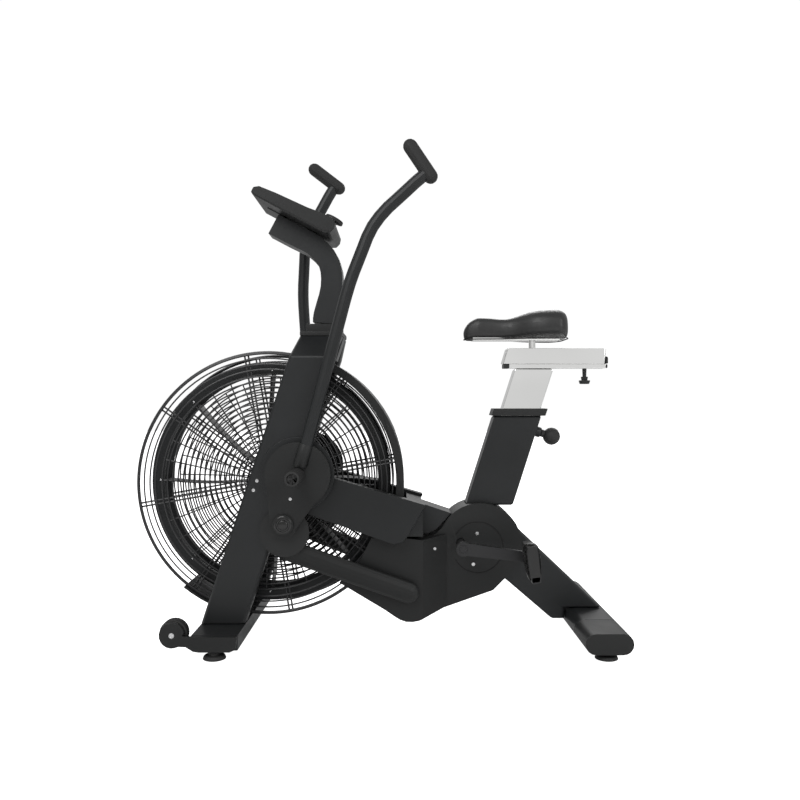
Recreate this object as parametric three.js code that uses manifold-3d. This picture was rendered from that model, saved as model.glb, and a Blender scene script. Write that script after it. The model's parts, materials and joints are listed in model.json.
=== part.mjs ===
// Air-resistance exercise bike. Millimetres, +Z up, the fan at -X, the rider facing -X.
// The left side of the bike, as the rider sits, is at -Y.

import * as THREE from 'three';
import { mergeVertices } from 'three/addons/utils/BufferGeometryUtils.js';
import Module from 'manifold-3d';

const wasm = await Module();
wasm.setup();

// ---- Driving dimensions ----

const GAP = 0.4;
const SIDES = [{ name: 'left', sign: -1 }, { name: 'right', sign: 1 }];

const FAN = { x: -347, z: 412 };
const AXLE_RADIUS = 8;
const GUARD = { radius: 347, inner: 86, outer: 90, hub: 36, bands: [[46, 138], [148, 234], [244, 334]] };
const WHEEL = { hub: 35, bladeOuter: 318, rimInner: 288, rimOuter: 322, halfWidth: 34, rimSide: 42 };
const BLADE_COUNT = 8;
const BLADE_START = 44.5;
const SHIELD = { inner: 348, lip: 337, outer: 358, halfWidth: 96 };

const LEG = { inner: 108, outer: 158, bottom: 57.4, knee: 742, top: 800, chamfer: 7 };
const LEG_SLOPE = 0.3288;
const LEG_FRONT_AT_FLOOR = -528.4;
const LEG_REAR_AT_FLOOR = -415.4;

const PIVOT = { x: -258, z: 441 };
const LINK = { x: -294, z: 316 };
const LEVER_Y = 185;
const LEVER_RADIUS = 16;
const GRIP_RADIUS = 18.5;
const LEVER_SWING = 18.7;
const PLATE = { disc: 83, lobe: 35, inner: 170.4, outer: 188 };
const LOBE = { x: -294, z: 294, radius: 63, inner: 164, outer: 169 };
const PEG = { radius: 18.5, start: 189, end: 295 };

const CRANK = { x: 162, z: 249, length: 165, angle: -7, inner: 146, outer: 160 };
const PEDAL = { inner: 168, outer: 258, height: 88, thickness: 30, tilt: 8 };
const HOUSING = { half: 60, wall: 3.5, x: 214, z: 242, radius: 112, front: 16 };
const CHEEK = { inner: 97.5, outer: 103.6, fanClearance: 362 };
const DRIVE = { pulley: 50, x: 62, z: 150, jack: 18 };
const BEAM = { inner: 104, outer: 140 };

const POST_SLOPE = 0.32;
const POST_HALF = 25;
const POST = { bottom: 470, top: 716, depth: 104, holeBottom: 385 };
const SEAT_TUBE_HALF = 31;
const SADDLE = { nose: 172, tail: 457, base: 793, top: 868, halfWidth: 98 };
const SADDLE_POST_X = 363;

const FRONT_FOOT = { half: 270, x0: -510, x1: -394.4, z0: 20, z1: 57 };
const REAR_FOOT = { half: 285, x0: 444.6, x1: 562, z0: 18, z1: 69.3 };
const CASTER = { x: -552, z: 60.6, radius: 34.5 };
const LEVELLER = { radius: 29, y: 250 };

// ---- Finishes ----

function finish(color, roughness, metalness) {
  return new THREE.MeshStandardMaterial({ color, roughness, metalness });
}
const paint = finish(0x1d1f20, 0.45, 0.1);
const plastic = finish(0x17181a, 0.55, 0.0);
const rubber = finish(0x101011, 0.85, 0.0);
const chrome = finish(0xd8d8d6, 0.12, 1.0);
const steel = finish(0x3a3c3e, 0.35, 0.9);
const leather = finish(0x161616, 0.5, 0.0);

const bike = new THREE.Group();

function add(name, geometry, material) {
  const mesh = new THREE.Mesh(outward(geometry), material);
  mesh.name = name;
  bike.add(mesh);
  return mesh;
}

// ---- Shape helpers ----

function signedVolume(geometry) {
  const position = geometry.attributes.position;
  const index = geometry.index;
  const a = new THREE.Vector3();
  const b = new THREE.Vector3();
  const c = new THREE.Vector3();
  let volume = 0;
  for (let i = 0; i < index.count; i += 3) {
    a.fromBufferAttribute(position, index.getX(i));
    b.fromBufferAttribute(position, index.getX(i + 1));
    c.fromBufferAttribute(position, index.getX(i + 2));
    volume += a.dot(b.cross(c)) / 6;
  }
  return volume;
}

function clean(geometry) {
  const bare = geometry.clone();
  bare.deleteAttribute('normal');
  bare.deleteAttribute('uv');
  return mergeVertices(bare, 1e-4);
}

function outward(geometry) {
  const merged = clean(geometry);
  if (signedVolume(merged) < 0) {
    merged.setIndex(Array.from(merged.index.array).reverse());
  }
  return merged;
}

function toSolid(geometry) {
  const merged = outward(geometry);
  const vertProperties = new Float32Array(merged.attributes.position.array);
  const triVerts = new Uint32Array(merged.index.array);
  return new wasm.Manifold(new wasm.Mesh({ numProp: 3, vertProperties, triVerts }));
}

function fromSolid(solid) {
  const mesh = solid.getMesh();
  const geometry = new THREE.BufferGeometry();
  geometry.setAttribute('position', new THREE.BufferAttribute(mesh.vertProperties, 3));
  geometry.setIndex(Array.from(mesh.triVerts));
  return geometry;
}

function cut(geometry, ...tools) {
  const solid = tools.reduce((rest, tool) => rest.subtract(toSolid(tool)), toSolid(geometry));
  return fromSolid(solid);
}

function join(geometry, ...others) {
  const solid = others.reduce((whole, other) => whole.add(toSolid(other)), toSolid(geometry));
  return fromSolid(solid);
}

// The Y range between two distances from the middle plane, on one side of it.
function span(side, near, far) {
  return side.sign > 0 ? [near, far] : [-far, -near];
}

// An outline in the XZ plane, extruded between two Y values.
function prism(outline, [yLow, yHigh], holes = []) {
  const shape = new THREE.Shape(outline.map(([x, z]) => new THREE.Vector2(x, z)));
  shape.holes = holes.map((hole) => new THREE.Path(hole.map(([x, z]) => new THREE.Vector2(x, z))));
  const geometry = new THREE.ExtrudeGeometry(shape, { depth: yHigh - yLow, bevelEnabled: false });
  geometry.rotateX(Math.PI / 2);
  geometry.translate(0, yHigh, 0);
  return geometry;
}

function disc(x, z, radius, [yLow, yHigh], segments = 24) {
  const geometry = new THREE.CylinderGeometry(radius, radius, yHigh - yLow, segments);
  geometry.translate(x, (yLow + yHigh) / 2, z);
  return geometry;
}

function post(x, y, radiusTop, radiusBottom, zLow, zHigh, segments = 24) {
  const geometry = new THREE.CylinderGeometry(radiusTop, radiusBottom, zHigh - zLow, segments);
  geometry.rotateX(Math.PI / 2);
  geometry.translate(x, y, (zLow + zHigh) / 2);
  return geometry;
}

function box(xRange, yRange, zRange) {
  const geometry = new THREE.BoxGeometry(
    xRange[1] - xRange[0], yRange[1] - yRange[0], zRange[1] - zRange[0]);
  geometry.translate(
    (xRange[0] + xRange[1]) / 2, (yRange[0] + yRange[1]) / 2, (zRange[0] + zRange[1]) / 2);
  return geometry;
}

// A shape made along +Y from its own middle, laid between two points.
function lay(geometry, from, to) {
  const direction = to.clone().sub(from);
  const turn = new THREE.Quaternion().setFromUnitVectors(new THREE.Vector3(0, 1, 0), direction.normalize());
  geometry.applyQuaternion(turn);
  geometry.translate((from.x + to.x) / 2, (from.y + to.y) / 2, (from.z + to.z) / 2);
  return geometry;
}

function bar(from, to, radius, segments = 16) {
  return lay(new THREE.CylinderGeometry(radius, radius, from.distanceTo(to), segments), from, to);
}

function capsule(from, to, radius) {
  const geometry = new THREE.CapsuleGeometry(radius, from.distanceTo(to), 4, 14);
  return lay(geometry, from, to);
}

function tube(points, radius, steps) {
  const path = new THREE.CatmullRomCurve3(points, false, 'centripetal');
  const section = new THREE.Shape();
  section.absarc(0, 0, radius, 0, Math.PI * 2);
  return new THREE.ExtrudeGeometry(section, {
    steps, extrudePath: path, bevelEnabled: false, curveSegments: 7 });
}

function arc(x, z, radius, fromDegrees, toDegrees, steps) {
  return Array.from({ length: steps + 1 }, (_, i) => {
    const angle = THREE.MathUtils.degToRad(fromDegrees + (toDegrees - fromDegrees) * i / steps);
    return [x + radius * Math.cos(angle), z + radius * Math.sin(angle)];
  });
}

function ringSector(x, z, inner, outer, from, to, steps) {
  return [...arc(x, z, outer, from, to, steps), ...arc(x, z, inner, to, from, steps)];
}

// A band of even width along a smooth centreline in the XZ plane.
function band(points, halfWidth, steps) {
  const path = new THREE.SplineCurve(points.map(([x, z]) => new THREE.Vector2(x, z)));
  const one = [];
  const other = [];
  for (let i = 0; i <= steps; i += 1) {
    const middle = path.getPoint(i / steps);
    const tangent = path.getTangent(i / steps);
    one.push([middle.x - tangent.y * halfWidth, middle.y + tangent.x * halfWidth]);
    other.push([middle.x + tangent.y * halfWidth, middle.y - tangent.x * halfWidth]);
  }
  return [...one, ...other.reverse()];
}

// A closed skin over rings of points, with a flat cap at each end.
function loft(rings) {
  const count = rings[0].length;
  const index = [];
  for (let row = 0; row < rings.length - 1; row += 1) {
    for (let i = 0; i < count; i += 1) {
      const a = row * count + i;
      const b = row * count + (i + 1) % count;
      index.push(a, b, b + count, a, b + count, a + count);
    }
  }
  const last = (rings.length - 1) * count;
  for (let i = 1; i < count - 1; i += 1) {
    index.push(0, i + 1, i);
    index.push(last, last + i, last + i + 1);
  }
  const geometry = new THREE.BufferGeometry();
  geometry.setAttribute('position', new THREE.Float32BufferAttribute(rings.flat(2), 3));
  geometry.setIndex(index);
  return geometry;
}

// ---- Fan, guard and shields ----

function guardHoles() {
  return GUARD.bands.flatMap(([inner, outer]) => Array.from({ length: 8 }, (_, i) => {
    const middle = 10 + 22.5 + 45 * i;
    const halfOuter = 22.5 - THREE.MathUtils.radToDeg(6 / outer);
    const halfInner = 22.5 - THREE.MathUtils.radToDeg(6 / inner);
    return [
      ...arc(FAN.x, FAN.z, outer, middle - halfOuter, middle + halfOuter, 4),
      ...arc(FAN.x, FAN.z, inner, middle + halfInner, middle - halfInner, 3),
    ];
  }));
}

function addFan() {
  const rim = arc(FAN.x, FAN.z, GUARD.radius, 0, 354, 59);
  const axleHole = arc(FAN.x, FAN.z, AXLE_RADIUS + GAP, 0, 337.5, 15);
  for (const side of SIDES) {
    const [near, far] = span(side, GUARD.inner, GUARD.outer);
    add(`${side.name}_fan_guard`, prism(rim, [near, far], [axleHole, ...guardHoles()]), steel);
  }
  add('fan_axle', disc(FAN.x, FAN.z, AXLE_RADIUS, [-LEG.inner + GAP, LEG.inner - GAP], 16), steel);
  const blades = Array.from({ length: BLADE_COUNT }, (_, i) => {
    const blade = box([WHEEL.hub - 5, WHEEL.bladeOuter], [-WHEEL.halfWidth, WHEEL.halfWidth], [-1.5, 1.5]);
    blade.rotateY(-THREE.MathUtils.degToRad(BLADE_START + 45 * i));
    blade.translate(FAN.x, 0, FAN.z);
    return blade;
  });
  const wheelRim = arc(FAN.x, FAN.z, WHEEL.rimOuter, 0, 352.5, 47);
  const wheelHole = arc(FAN.x, FAN.z, WHEEL.rimInner, 0, 352.5, 47);
  const rims = SIDES.map((side) => {
    const rimWidth = span(side, WHEEL.halfWidth - 0.5, WHEEL.rimSide);
    return prism(wheelRim, rimWidth, [wheelHole]);
  });
  const hub = disc(FAN.x, FAN.z, WHEEL.hub, [-WHEEL.halfWidth, WHEEL.halfWidth]);
  const bore = disc(FAN.x, FAN.z, AXLE_RADIUS + GAP, [-200, 200], 16);
  add('fan_wheel', cut(join(hub, ...blades, ...rims), bore), paint);
  const width = [-SHIELD.halfWidth, SHIELD.halfWidth];
  const lip = ringSector(FAN.x, FAN.z, SHIELD.lip, SHIELD.outer, -6, 62, 14);
  const lips = SIDES.map((side) => prism(lip, span(side, GUARD.outer + 1.5, SHIELD.halfWidth)));
  const upper = prism(ringSector(FAN.x, FAN.z, SHIELD.inner, SHIELD.outer, -6, 62, 14), width);
  add('upper_wind_shield', join(upper, ...lips), plastic);
  add('lower_wind_shield', prism(ringSector(FAN.x, FAN.z, SHIELD.inner, 354, 231, 258, 6), width), plastic);
}

// ---- Frame ----

// An eight-sided section of the leg at one height.
function legRing(side, z, inner, outer) {
  const x0 = LEG_FRONT_AT_FLOOR + z * LEG_SLOPE;
  const x1 = LEG_REAR_AT_FLOOR + z * LEG_SLOPE;
  const c = LEG.chamfer;
  const corners = [
    [x0 + c, inner], [x1 - c, inner], [x1, inner + c], [x1, outer - c],
    [x1 - c, outer], [x0 + c, outer], [x0, outer - c], [x0, inner + c],
  ];
  return corners.map(([x, y]) => [x, y * side.sign, z]);
}

function legEdge(edgeAtFloor, z) {
  return edgeAtFloor + z * LEG_SLOPE;
}

function addFrame() {
  for (const side of SIDES) {
    const leg = loft([
      legRing(side, LEG.bottom, LEG.inner, LEG.outer),
      legRing(side, LEG.knee, LEG.inner, LEG.outer),
      legRing(side, LEG.top, 34, 84),
    ]);
    add(`${side.name}_front_leg`, leg, paint);
    const beamOutline = [
      [legEdge(LEG_REAR_AT_FLOOR, 455) + GAP, 455], [66.6, 358.9], [21.5, 280.6], [6, 262], [-14, 257],
      [legEdge(LEG_REAR_AT_FLOOR, 357) + GAP, 357],
    ];
    add(`${side.name}_side_beam`, prism(beamOutline, span(side, BEAM.inner, BEAM.outer)), paint);
    add(`${side.name}_pivot_plate`, cut(
      disc(PIVOT.x - 4, PIVOT.z, 95, span(side, LEG.outer + GAP, 163.3), 32),
      disc(PIVOT.x, PIVOT.z, 14.4, [-300, 300], 20)), paint);
    const axle = disc(PIVOT.x, PIVOT.z, 14, span(side, LEG.outer + GAP, PEG.start + 2), 20);
    const peg = disc(PIVOT.x, PIVOT.z, PEG.radius, span(side, PEG.start, PEG.end), 24);
    add(`${side.name}_foot_peg`, join(axle, peg), rubber);
  }
  const x0 = LEG_FRONT_AT_FLOOR;
  const x1 = LEG_REAR_AT_FLOOR;
  const headOutline = [
    [legEdge(x0, 736), 736], [legEdge(x1, 736), 736],
    [legEdge(x1, LEG.top), LEG.top], [legEdge(x0, LEG.top), LEG.top],
  ];
  add('head_block', prism(headOutline, [-33.6, 33.6]), paint);
  const capZ = LEG.top + GAP;
  const lid = box([legEdge(x0, LEG.top), legEdge(x1, LEG.top)], [-85, 85], [capZ, 812]);
  add('head_cap', join(lid, box([-254, -158], [-42, 42], [811, 836])), plastic);
  const neckLine = [
    [-207, 839], [-205, 862], [-186, 936], [-192, 1001], [-231, 1048], [-290, 1079], [-343, 1107],
  ];
  add('neck', prism(band(neckLine, 29, 18), [-33, 33]), paint);
}

function addFeet() {
  const front = box([FRONT_FOOT.x0, FRONT_FOOT.x1], [-FRONT_FOOT.half + 12, FRONT_FOOT.half - 12],
    [FRONT_FOOT.z0, FRONT_FOOT.z1]);
  add('front_stabiliser', front, paint);
  const capRadius = (REAR_FOOT.z1 - REAR_FOOT.z0) / 2;
  const capZ = (REAR_FOOT.z1 + REAR_FOOT.z0) / 2;
  const stadium = [
    ...arc(REAR_FOOT.x1 - capRadius, capZ, capRadius, -90, 90, 8),
    ...arc(REAR_FOOT.x0 + capRadius, capZ, capRadius, 90, 270, 8),
  ];
  add('rear_stabiliser', prism(stadium, [-157, 157]), paint);
  for (const side of SIDES) {
    const goose = [
      ...arc(CASTER.x, CASTER.z, 31, 12, 300, 16),
      [CASTER.x + 34, 33], [-500, 22], [-486, FRONT_FOOT.z0], [-412, FRONT_FOOT.z0], [-399, 26],
      [FRONT_FOOT.x1, 52], [-398, FRONT_FOOT.z1], [-510, FRONT_FOOT.z1], [-527, 60],
    ];
    const arm = prism(goose, span(side, FRONT_FOOT.half - 12 + GAP, FRONT_FOOT.half));
    const pin = disc(CASTER.x, CASTER.z, 5, span(side, 226, FRONT_FOOT.half - 5), 12);
    add(`${side.name}_caster_arm`, join(arm, pin), plastic);
    const wheel = disc(CASTER.x, CASTER.z, CASTER.radius, span(side, 228, FRONT_FOOT.half - 14), 32);
    add(`${side.name}_caster`, cut(wheel, disc(CASTER.x, CASTER.z, 5.4, [-300, 300], 12)), rubber);
    add(`${side.name}_rear_foot_cap`, prism(stadium, span(side, 157 + GAP, REAR_FOOT.half)), plastic);
    for (const [end, x, zTop] of [['front', -452, FRONT_FOOT.z0], ['rear', 503, REAR_FOOT.z0]]) {
      const stem = post(x, side.sign * LEVELLER.y, 13, 13, 8, zTop - GAP, 16);
      const pad = post(x, side.sign * LEVELLER.y, 25, LEVELLER.radius, 0, 10, 24);
      add(`${side.name}_${end}_leveller`, join(stem, pad), rubber);
    }
  }
}

// ---- Drive housing ----

const housingOutline = [
  [HOUSING.front, 48.5], [34, 48], [50, 51], [66, 57], [249, 121],
  ...arc(HOUSING.x, HOUSING.z, HOUSING.radius, -55, 138, 18),
  [112, 288], [92, 270], [64, 262], [HOUSING.front, 267],
];

const strutOutline = [
  [300, 300], [543.3, REAR_FOOT.z1 + GAP], [444, REAR_FOOT.z1 + GAP], [444, 40], [410, 40], [262, 166],
];

const seatTubeOutline = [
  [178.5, 345], [306.5, 345], [384, 587], [256, 587],
];

function grow(outline, amount) {
  const count = outline.length;
  const middle = outline.reduce(([mx, mz], [x, z]) => [mx + x / count, mz + z / count], [0, 0]);
  return outline.map(([x, z]) => {
    const reach = Math.hypot(x - middle[0], z - middle[1]);
    return [x + (x - middle[0]) / reach * amount, z + (z - middle[1]) / reach * amount];
  });
}

function addHousing() {
  const inset = grow(housingOutline, -2 * HOUSING.wall);
  for (const side of SIDES) {
    const shell = cut(
      prism(housingOutline, span(side, GAP / 2, HOUSING.half)),
      prism(inset, span(side, -1, HOUSING.half - HOUSING.wall)),
      prism(grow(strutOutline, 2), [-45.5, 45.5]),
      prism(grow(seatTubeOutline, 2), [-SEAT_TUBE_HALF - 0.5, SEAT_TUBE_HALF + 0.5]),
      disc(CRANK.x, CRANK.z, 11.5, [-300, 300], 20));
    const cheekOutline = [
      [50, 51], [60, 55], [60, 262], [HOUSING.front, 267], [-75, 268], [-102, 215], [-159, 151],
      [-38, 79], [-18, 65], [0, 54], [HOUSING.front, 48.5], [34, 48],
    ];
    const cheek = cut(
      prism(cheekOutline, span(side, HOUSING.half - 1, CHEEK.outer)),
      disc(FAN.x, FAN.z, CHEEK.fanClearance, [-CHEEK.inner, CHEEK.inner], 64));
    const section = (x, outer, zLow, zHigh) => [
      [x, side.sign * (HOUSING.half - 1), zLow], [x, side.sign * outer, zLow],
      [x, side.sign * outer, zHigh], [x, side.sign * (HOUSING.half - 1), zHigh],
    ];
    const ramp = loft([section(59, CHEEK.outer, 55, 262), section(126, HOUSING.half + 0.2, 80, 272)]);
    add(`${side.name}_drive_cover`, join(shell, cheek, ramp), plastic);
  }
  const bridge = join(
    prism([[18, 364], [60, 352], [60, 272], [18, 272]], [-103.6, 103.6]),
    prism([[50, 355], [137, 326], [98, 283], [75, 272], [50, 272]], [-50, 50]));
  add('frame_bridge', bridge, paint);
  add('rear_strut', prism(strutOutline, [-45, 45]), paint);
}

function addDrive() {
  add('crank_spindle', disc(CRANK.x, CRANK.z, 10, [-CRANK.outer + GAP, CRANK.outer - GAP], 20), steel);
  const pulley = disc(CRANK.x, CRANK.z, DRIVE.pulley, [-9, 9], 32);
  add('drive_pulley', cut(pulley, disc(CRANK.x, CRANK.z, 10 + GAP, [-50, 50], 20)), steel);
  const shaft = disc(DRIVE.x, DRIVE.z, 7, [-HOUSING.half + 4, HOUSING.half - 4], 16);
  add('jackshaft', join(shaft, disc(DRIVE.x, DRIVE.z, DRIVE.jack, [-9, 9], 20)), steel);
  const along = THREE.MathUtils.radToDeg(Math.atan2(CRANK.z - DRIVE.z, CRANK.x - DRIVE.x));
  const beltLine = (extra) => [
    ...arc(CRANK.x, CRANK.z, DRIVE.pulley + extra, along - 104, along + 104, 24),
    ...arc(DRIVE.x, DRIVE.z, DRIVE.jack + extra, along + 104, along + 256, 8),
  ];
  add('drive_belt', prism(beltLine(3), [-8, 8], [beltLine(GAP)]), rubber);
}

// ---- Cranks and pedals ----

function addCranks() {
  for (const side of SIDES) {
    const turn = THREE.MathUtils.degToRad(CRANK.angle + (side.sign > 0 ? 180 : 0));
    const end = { x: CRANK.x + CRANK.length * Math.cos(turn), z: CRANK.z + CRANK.length * Math.sin(turn) };
    const across = { x: -Math.sin(turn), z: Math.cos(turn) };
    const width = span(side, CRANK.inner, CRANK.outer);
    const web = [
      [CRANK.x + across.x * 16, CRANK.z + across.z * 16], [CRANK.x - across.x * 16, CRANK.z - across.z * 16],
      [end.x - across.x * 13, end.z - across.z * 13], [end.x + across.x * 13, end.z + across.z * 13],
    ];
    const hubBoss = disc(CRANK.x, CRANK.z, 19, width, 24);
    const arm = join(prism(web, width), hubBoss, disc(end.x, end.z, 16, width, 20));
    const axle = disc(end.x, end.z, 7, span(side, CRANK.inner + 1, PEDAL.outer - 6), 16);
    const bored = cut(arm, disc(CRANK.x, CRANK.z, 10 + GAP, [-300, 300], 20));
    add(`${side.name}_crank_arm`, join(bored, axle), steel);
    const body = box([-PEDAL.thickness / 2, PEDAL.thickness / 2], span(side, PEDAL.inner, PEDAL.outer),
      [-PEDAL.height / 2, PEDAL.height / 2]);
    const pedal = cut(body, disc(0, 0, 7 + GAP, span(side, 0, PEDAL.outer - 5.6), 16));
    pedal.rotateY(THREE.MathUtils.degToRad(-PEDAL.tilt));
    pedal.translate(end.x, 0, end.z);
    add(`${side.name}_pedal`, pedal, rubber);
  }
}

// ---- Levers and links, drawn in the pose where the left lever is fully back ----

function leverPieces(side) {
  const at = (x, z, y = LEVER_Y) => new THREE.Vector3(x, side.sign * y, z);
  const line = [
    at(-246, 478), at(-241, 497), at(-200, 650), at(-159, 806), at(-126, 926), at(-99, 997),
    at(-72, 1062), at(-39, 1106), at(4, 1146), at(44, 1183), at(62, 1198),
  ];
  const gripTop = at(26, 1269);
  const gripEnd = at(77, 1193);
  const stem = tube(line, LEVER_RADIUS, 26);
  const plateWidth = span(side, PLATE.inner, PLATE.outer);
  const neck = [
    [PIVOT.x - 78, PIVOT.z - 28], [LINK.x - 34, LINK.z + 8],
    [LINK.x + 34, LINK.z - 8], [PIVOT.x + 48, PIVOT.z - 66],
  ];
  const keyhole = join(
    disc(PIVOT.x, PIVOT.z, PLATE.disc, plateWidth, 40),
    disc(LINK.x, LINK.z, PLATE.lobe, plateWidth, 24),
    prism(neck, plateWidth));
  const plate = cut(keyhole,
    disc(PIVOT.x, PIVOT.z, 14 + GAP, [-300, 300], 20),
    bar(at(-249, 467), at(-223, 565), LEVER_RADIUS + 1));
  const pin = disc(LINK.x, LINK.z, 8.5, span(side, LOBE.inner - GAP, PLATE.inner + 1), 16);
  const cap = disc(LINK.x, LINK.z, 26, span(side, PLATE.outer - 1, PLATE.outer + 6), 24);
  return [
    ['lever_tube', cut(stem, capsule(gripTop, gripEnd, GRIP_RADIUS + GAP)), paint],
    ['lever_grip', capsule(gripTop, gripEnd, GRIP_RADIUS), rubber],
    ['lever_plate', join(plate, pin, cap), plastic],
  ];
}

function linkRod(side) {
  const front = new THREE.Vector3(-292, side.sign * 151, 247);
  const rear = new THREE.Vector3(22, side.sign * 121, 129);
  const rod = new THREE.CapsuleGeometry(27.5, front.distanceTo(rear), 4, 16);
  rod.rotateZ(-Math.PI / 2);
  rod.scale(1, 0.55, 1);
  rod.rotateZ(Math.asin((rear.y - front.y) / front.distanceTo(rear)));
  rod.rotateY(Math.atan2(front.z - rear.z, rear.x - front.x));
  rod.translate((front.x + rear.x) / 2, (front.y + rear.y) / 2, (front.z + rear.z) / 2);
  const lobe = disc(LOBE.x, LOBE.z, LOBE.radius, span(side, LOBE.inner, LOBE.outer), 32);
  return cut(join(rod, lobe), disc(LINK.x, LINK.z, 8.5 + GAP, [-300, 300], 16));
}

function addLevers() {
  const swing = THREE.MathUtils.degToRad(-LEVER_SWING);
  const turn = new THREE.Matrix4().makeTranslation(PIVOT.x, 0, PIVOT.z)
    .multiply(new THREE.Matrix4().makeRotationY(swing))
    .multiply(new THREE.Matrix4().makeTranslation(-PIVOT.x, 0, -PIVOT.z));
  const still = new THREE.Vector3(LINK.x, 0, LINK.z);
  const slide = still.clone().applyMatrix4(turn).sub(still);
  for (const side of SIDES) {
    for (const [name, geometry, material] of leverPieces(side)) {
      if (side.sign > 0) {
        geometry.applyMatrix4(turn);
      }
      add(`${side.name}_${name}`, geometry, material);
    }
    const rod = linkRod(side);
    if (side.sign > 0) {
      rod.translate(slide.x, 0, slide.z);
    }
    add(`${side.name}_link_rod`, rod, plastic);
  }
}

// ---- Seat ----

function postOutline(z0, z1, left, width) {
  return [
    [left + z0 * POST_SLOPE, z0], [left + width + z0 * POST_SLOPE, z0],
    [left + width + z1 * POST_SLOPE, z1], [left + z1 * POST_SLOPE, z1],
  ];
}

function saddleRing(t) {
  const x = SADDLE.nose + (SADDLE.tail - SADDLE.nose) * t;
  const fade = Math.sqrt(Math.max(0.02, 1 - Math.pow(Math.abs(2 * t - 1), 6)));
  const flare = 1 / (1 + Math.exp(-14 * (t - 0.52)));
  const half = (30 + (SADDLE.halfWidth - 30) * flare) * fade;
  const crown = (48 + (SADDLE.top - SADDLE.base - 48) * flare) * (0.45 + 0.55 * fade);
  return arc(0, 0, 1, 0, 180, 8).map(([c, s]) => [x, half * c, SADDLE.base + 8 + (crown - 8) * Math.sqrt(s)]);
}

function addSeat() {
  const postLeft = 279 - 607 * POST_SLOPE;
  const holeOutline = postOutline(POST.holeBottom, 640, postLeft - GAP, POST.depth + 2 * GAP);
  const hole = prism(holeOutline, [-POST_HALF - GAP, POST_HALF + GAP]);
  const collar = prism(postOutline(587 + GAP, 607, 251 - 597 * POST_SLOPE, 146), [-39, 39]);
  add('seat_collar', cut(collar, hole), plastic);
  const postSection = postOutline(POST.bottom, POST.top, postLeft, POST.depth);
  add('seat_post', prism(postSection, [-POST_HALF, POST_HALF]), chrome);
  add('seat_rail', box([287, 561], [-22, 22], [POST.top + GAP, 728]), chrome);
  const carriage = [[279, 728 + GAP], [558, 728 + GAP], [561, 771], [292, 771]];
  add('seat_carriage', prism(carriage, [-26, 26]), chrome);
  const pin = post(SADDLE_POST_X, 0, 9.3, 9.3, 771 + GAP, SADDLE.base, 20);
  const pan = box([SADDLE.nose + 26, SADDLE.tail - 22], [-24, 24], [SADDLE.base - 1, SADDLE.base + 7.6]);
  add('saddle_mount', join(pin, pan), chrome);
  const rows = Array.from({ length: 15 }, (_, i) => saddleRing(i / 14));
  add('saddle_cushion', loft(rows), leather);
  const stem = post(507, 0, 6, 5, 690, POST.top, 16);
  const cone = post(507, 0, 10, 8, 684, 694, 16);
  const button = post(507, 0, 15.8, 13, 674, 684, 24);
  add('slider_knob', join(stem, cone, button), plastic);
  const out = new THREE.Vector3(1, 0, -POST_SLOPE).normalize();
  const root = new THREE.Vector3(370.5, 0, 545);
  const reach = (distance) => root.clone().addScaledVector(out, distance);
  const tubeBody = prism(seatTubeOutline, [-SEAT_TUBE_HALF, SEAT_TUBE_HALF]);
  const tubeBlock = join(tubeBody, bar(reach(-4), reach(18), 14, 20));
  add('seat_tube', cut(tubeBlock, hole), paint);
  const knob = new THREE.SphereGeometry(24, 16, 10);
  knob.translate(reach(48).x, 0, reach(48).z);
  add('height_knob', join(knob, bar(reach(18.6), reach(34), 10, 16)), rubber);
}

// ---- Console ----

function addConsole() {
  const along = new THREE.Vector2(204, -108).normalize();
  const up = new THREE.Vector2(-along.y, along.x);
  const at = (u, n) => [-387 + along.x * u + up.x * n, 1183 + along.y * u + up.y * n];
  const shell = [
    at(0, -8), at(8, -13), at(222, -13), at(234, -6), at(238, 8), at(234, 22), at(222, 30), at(190, 30),
    at(150, 25), at(60, 20), at(12, 15), at(0, 6),
  ];
  const bracket = prism([at(38, -12), at(38, -16.2), at(88, -16.2), at(88, -12)], [-28, 28]);
  add('console_body', join(prism(shell, [-106, 106]), bracket), plastic);
  const [dialX, dialZ] = at(209, 30.4);
  const dial = join(post(0, 0, 12, 12, 0, 12, 20), post(0, 0, 26, 27, 9, 20, 28));
  dial.rotateY(Math.atan2(up.x, up.y));
  dial.translate(dialX, 0, dialZ);
  add('console_dial', dial, rubber);
}

addFan();
addFrame();
addFeet();
addHousing();
addDrive();
addCranks();
addLevers();
addSeat();
addConsole();

// The origin is under the middle of the bike.
bike.position.x = (GUARD.radius - FAN.x - REAR_FOOT.x1) / 2;
const group = bike;

export default group;
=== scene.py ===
"""Black air-resistance exercise bike: looks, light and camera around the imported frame."""
import json
import math

import bmesh
import bpy
from mathutils import Matrix, Vector


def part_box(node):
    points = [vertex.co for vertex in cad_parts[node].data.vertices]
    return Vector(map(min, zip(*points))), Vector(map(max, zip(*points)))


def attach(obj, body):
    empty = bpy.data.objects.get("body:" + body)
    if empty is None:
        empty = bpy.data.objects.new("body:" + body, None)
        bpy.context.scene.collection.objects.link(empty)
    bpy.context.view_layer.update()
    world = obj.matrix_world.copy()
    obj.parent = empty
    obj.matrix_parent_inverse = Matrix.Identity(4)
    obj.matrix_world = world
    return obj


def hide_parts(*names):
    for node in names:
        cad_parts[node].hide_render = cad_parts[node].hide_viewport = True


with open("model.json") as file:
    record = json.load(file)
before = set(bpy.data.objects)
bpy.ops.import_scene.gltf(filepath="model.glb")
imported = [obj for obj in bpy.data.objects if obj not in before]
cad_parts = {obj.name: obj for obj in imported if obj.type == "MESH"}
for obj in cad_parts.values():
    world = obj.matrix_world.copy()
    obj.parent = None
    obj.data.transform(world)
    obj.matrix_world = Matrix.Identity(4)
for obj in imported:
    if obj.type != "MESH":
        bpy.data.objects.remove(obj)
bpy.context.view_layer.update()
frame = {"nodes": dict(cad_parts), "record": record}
SIDES = (("left", -1), ("right", 1))
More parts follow.
